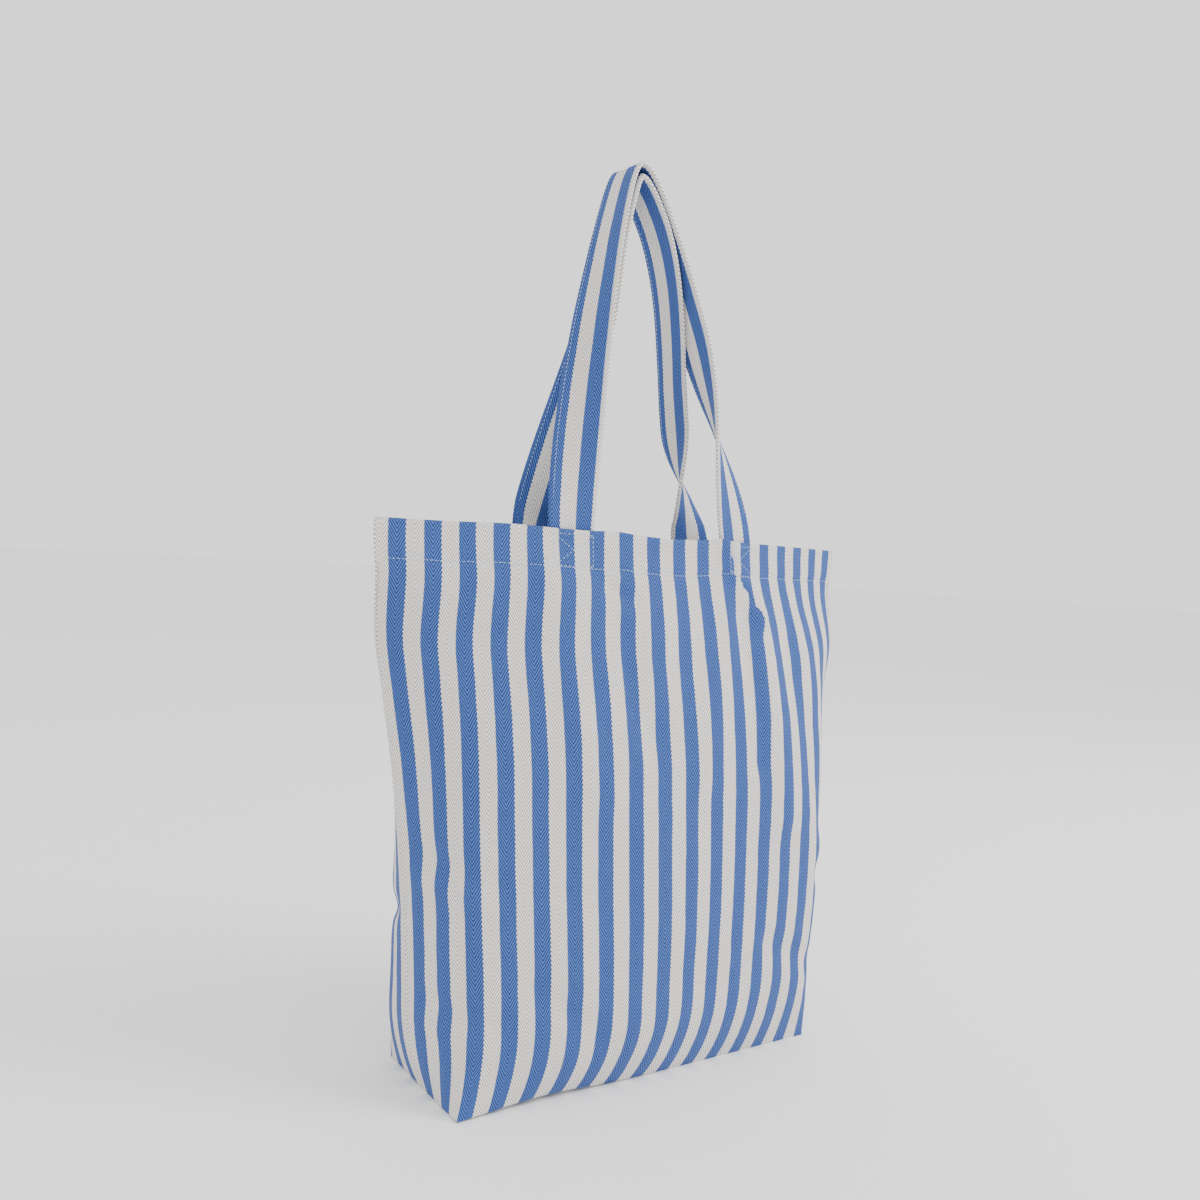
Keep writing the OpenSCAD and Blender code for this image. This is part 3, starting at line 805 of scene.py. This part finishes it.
def tint(r, g, b):
    return (r, g, b, 1.0)


# the blue and cream low colours are painted shade in the grooves between the ribs
clothLook = {"blueGrooveShade": tint(0.002, 0.006, 0.030), "blueHigh": tint(0.074, 0.162, 0.510),
             "creamGrooveShade": tint(0.110, 0.092, 0.080), "creamHigh": tint(0.960, 0.925, 0.890),
             "pitch": 0.0029, "rise": 1.732, "yarn": 0.00046, "roughness": 0.88,
             "wander": 0.0009, "edgeStep": 0.05, "broaden": 0.6, "streaks": (1500.0, 90.0, 1.0)}
cottonShine = {"Sheen Weight": 0.06, "Sheen Roughness": 0.45, "Specular IOR Level": 0.22}


def herringbone(name, start, pointsDown):
    look, shade = clothLook, Shade(name)
    uv, u, v = shade.places()
    wander = (shade.cloud(uv, 38.0) - 0.5) * look["wander"]  # the yarns never run quite straight
    across = (u - start + wander) / stripe
    fromMiddle = abs(across.sum("FRACT") - 0.5)
    lean = stripe * look["rise"] * (1 if pointsDown else -1)
    rib = (v - fromMiddle * lean) / look["pitch"]
    ribHeight = shade.wave(rib)
    edge = (rib.sum("FRACT") - 0.5) * look["edgeStep"]  # stripe edges step with the ribs
    isBlue = ((across + edge) * 0.5).sum("FRACT") < 0.5
    yarn = shade.wave(u / look["yarn"])
    pick = shade.wave(v / (look["pitch"] / 4))
    uneven = shade.cloud(uv, 900.0, 2.0)
    drawn = shade.node("Mapping", {}, {"Vector": uv, "Scale": look["streaks"]})
    streak = shade.cloud(Flow(shade, drawn.outputs[0]), 1.0, 2.0)
    wear = shade.cloud(uv, 14.0, 4.0)
    # the thin dark lines between the ribs are painted shade in the grooves
    broad = ribHeight.sum("POWER", look["broaden"])  # broad light ribs with thin dark lines between them
    lit = (broad * 0.92 + (uneven - 0.5) * 0.30 + (streak - 0.5) * 0.25).sum("MINIMUM", 1.0)
    blueCloth = shade.blend(lit, look["blueGrooveShade"], look["blueHigh"])
    pale = (broad * 0.86 + 0.14 + (uneven - 0.5) * 0.30).sum("MINIMUM", 1.0)
    creamCloth = shade.blend(pale, look["creamGrooveShade"], look["creamHigh"])
    cloth = shade.blend(isBlue, creamCloth, blueCloth)
    cloth = shade.blend((wear - 0.45) * 0.30, cloth, tint(0.62, 0.60, 0.58), "SOFT_LIGHT")
    height = ribHeight * 0.70 + yarn * 0.16 + pick * 0.08 + uneven * 0.20
    roughness = look["roughness"] - ribHeight * 0.06 + (uneven - 0.5) * 0.10
    return shade.finish(cloth, roughness, height, cottonShine)


def threadFinish():
    shade = Shade("sewing_thread")
    place = Flow(shade, shade.node("TexCoord").outputs["Object"])
    fuzz = shade.cloud(place, 2600.0, 2.0)
    ply = Flow(shade, shade.node("TexWave", {"wave_type": "BANDS", "bands_direction": "DIAGONAL"},
                                 {"Vector": place, "Scale": 700.0, "Distortion": 1.5}).outputs["Fac"])
    colour = shade.blend(fuzz * 0.6 + ply * 0.4, tint(0.36, 0.47, 0.68), tint(0.66, 0.74, 0.85))
    return shade.finish(colour, 0.62 + fuzz * 0.15, ply * 0.7 + fuzz * 0.3,
                        {"Sheen Weight": 0.15, "Specular IOR Level": 0.35}, 0.00008)


panelFinish = herringbone("striped_herringbone", firstStripe, True)
# across a strap from its near edge: cream 3 mm, blue 11, cream 11, blue 8
strapFinish = herringbone("strap_herringbone", 0.003, False)


def allowanceFinish():
    shade = Shade("overlocked_allowance")
    uv, u, v = shade.places()
    rib = shade.wave((v - abs(u * clothLook["rise"])) / clothLook["pitch"])
    fray = shade.cloud(uv, 1400.0, 4.0)
    # darker in the grooves between the ribs: painted shade, mixed with random fray tone
    colour = shade.blend(rib * 0.6 + fray * 0.4, clothLook["creamGrooveShade"], clothLook["creamHigh"])
    return shade.finish(colour, 0.86 + (fray - 0.5) * 0.12, rib * 0.6 + fray * 0.5, cottonShine)


seamFinish = allowanceFinish()
stitchFinish = threadFinish()


def wear(piece, finish, slot):
    piece.data.materials.clear()
    piece.data.materials.append(finish)


# who rides on what, and which solids each piece stands for

for piece, node in ((frontCloth, "front"), (backCloth, "back")):
    wear(piece, panelFinish, "striped_cloth")
    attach(piece, "bag")
    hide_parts(node + "_panel", node + "_hem")
for piece, side, loop in ((frontStrap, "front", "front_loop"), (backStrap, "back", "back_loop")):
    wear(piece, strapFinish, "strap_cloth")
    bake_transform(piece)
    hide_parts(side + "_handle", side + "_handle_ends")
for piece, loop, node in ((frontEdgeThread, "front_loop", "front_handle_stitching"),
                          (backEdgeThread, "back_loop", "back_handle_stitching")):
    wear(piece, stitchFinish, "sewing_thread")
    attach(piece, loop)
    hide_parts(node)
for piece, node in ((frontHemThread, "front_hem_stitching"), (backHemThread, "back_hem_stitching"),
                    (frontTackThread, "front_handle_tacks"), (backTackThread, "back_handle_tacks")):
    wear(piece, stitchFinish, "sewing_thread")
    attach(piece, "bag")
    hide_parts(node)
for name, node, cloth, overlock in sidePieces:
    wear(cloth, seamFinish, "seam_allowance")
    wear(overlock, stitchFinish, "sewing_thread")
    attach(cloth, "bag")
    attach(overlock, "bag")
    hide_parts(node)
for name, cloth in cornerPieces:
    wear(cloth, seamFinish, "seam_allowance")
    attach(cloth, "bag")
    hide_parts(name + "_corner_seam")
wear(baseAllowance, seamFinish, "seam_allowance")
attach(baseAllowance, "bag")
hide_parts("base_seam")
print("materials and bodies given")

# floor and light

studio = {"floor": 60.0, "floorDrop": 0.0002, "world": 1.50, "aimHeight": 0.28,
          "lamps": [("key", (1.5, -1.3, 1.9), 46, 1.0), ("fill", (-1.6, -1.3, 1.2), 3, 1.4)]}


def buildStudio():
    bpy.ops.mesh.primitive_plane_add(size=studio["floor"], location=(0, 0, -studio["floorDrop"]))
    floor = bpy.context.active_object
    floor.name = "floor"
    shade = Shade("pale_floor")
    place = Flow(shade, shade.node("TexCoord").outputs["Object"])
    grain = shade.cloud(place, 60.0)
    colour = shade.blend(grain, tint(0.93, 0.93, 0.93), tint(0.95, 0.95, 0.95))
    floor.data.materials.append(shade.finish(colour, 0.75 + grain * 0.1, grain, {}, 0.0001))
    world = bpy.data.worlds.new("studio")
    world.use_nodes = True
    world.node_tree.nodes["Background"].inputs[0].default_value = (1, 1, 1, 1)
    world.node_tree.nodes["Background"].inputs[1].default_value = studio["world"]
    bpy.context.scene.world = world
    for name, place, power, size in studio["lamps"]:
        data = bpy.data.lights.new(name, "AREA")
        data.energy, data.size = power, size
        lamp = bpy.data.objects.new(name, data)
        bpy.context.scene.collection.objects.link(lamp)
        lamp.location = place
        aim = Vector((0, 0, studio["aimHeight"])) - Vector(place)
        lamp.rotation_euler = aim.to_track_quat("-Z", "Y").to_euler()


buildStudio()
print("studio lit")
